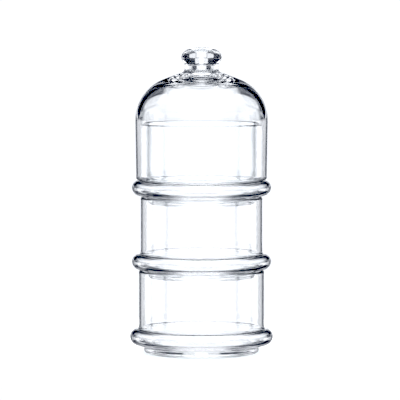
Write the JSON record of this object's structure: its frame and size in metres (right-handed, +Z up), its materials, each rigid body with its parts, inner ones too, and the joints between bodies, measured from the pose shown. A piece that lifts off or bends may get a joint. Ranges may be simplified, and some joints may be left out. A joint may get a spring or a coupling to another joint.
{
  "type": "cake stand dome",
  "caption": "Clear glass tier stand: footed jars stacked on one another under a bell-shaped lift-off cover with a solid knob.",
  "frame": {"origin": "centre of the bottom jar's standing ring, on the surface it stands on", "axes": "+Z up along the common axis of every piece; +X and +Y level, the pieces being round"},
  "size_m": [0.1434, 0.1434, 0.3067],
  "materials": {
    "jar_bottom": "clear polished",
    "jar_middle": "clear polished",
    "jar_top": "clear polished",
    "dome_lid": "clear polished"
  },
  "bodies": {
    "bottom_jar": {"jar_bottom": "jar_bottom"},
    "middle_jar": {"jar_middle": "jar_middle"},
    "top_jar": {"jar_top": "jar_top"},
    "cover": {"dome_lid": "dome_lid"}
  },
  "joints": [
    {"name": "middle_lift", "type": "slide", "parent": "bottom_jar", "child": "middle_jar", "axis": [0, 0, 1], "range_m": [0, 0.1]},
    {"name": "top_lift", "type": "slide", "parent": "middle_jar", "child": "top_jar", "axis": [0, 0, 1], "range_m": [0, 0.1]},
    {"name": "cover_lift", "type": "slide", "parent": "top_jar", "child": "cover", "axis": [0, 0, 1], "range_m": [0, 0.12]}
  ]
}
